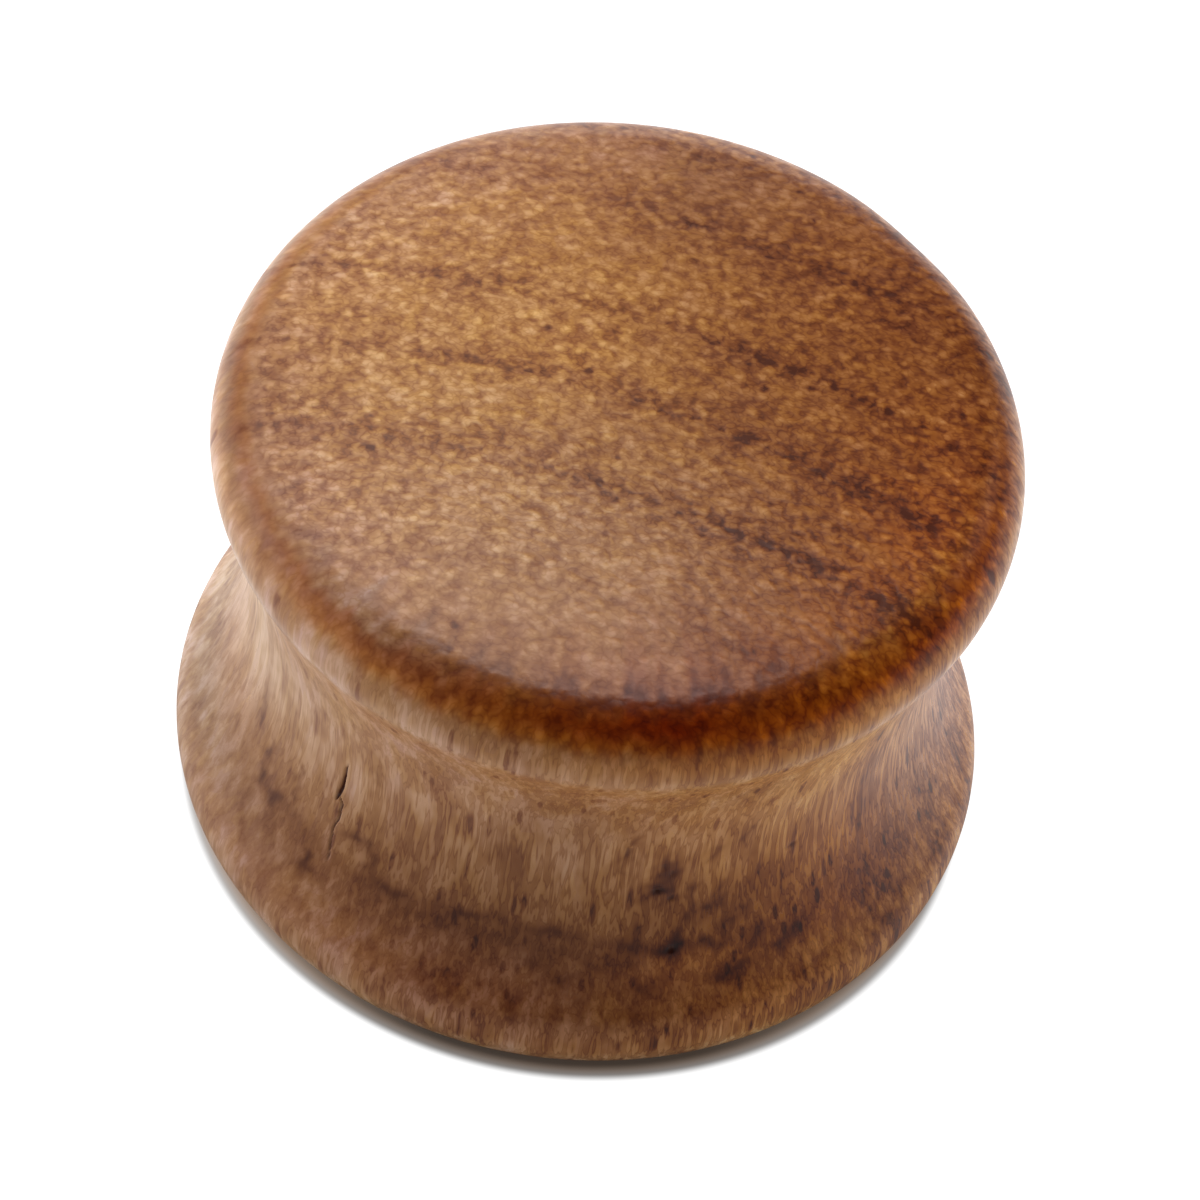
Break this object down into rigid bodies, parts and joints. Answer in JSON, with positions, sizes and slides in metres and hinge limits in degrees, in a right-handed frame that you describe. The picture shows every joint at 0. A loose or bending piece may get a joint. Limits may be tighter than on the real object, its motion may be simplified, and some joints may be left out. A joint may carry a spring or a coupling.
{
  "type": "wooden double-flared ear plug",
  "caption": "Solid turned wooden ear plug: a hollowed waist between equal rounded flares, a gently domed front face and a flat back, worn in a stretched ear lobe.",
  "frame": {"origin": "middle of the flat back face, which the plug stands on", "axes": "+Z along the plug's axis, from the flat back face to the domed front face; X and Y are alike, and the growth layers shown on the front face run roughly along X"},
  "size_m": [0.0222, 0.0222, 0.0165],
  "materials": {
    "wood": "sanded smooth and lightly oiled, satin"
  },
  "bodies": {
    "root": {"plug": "wood"}
  },
  "joints": []
}
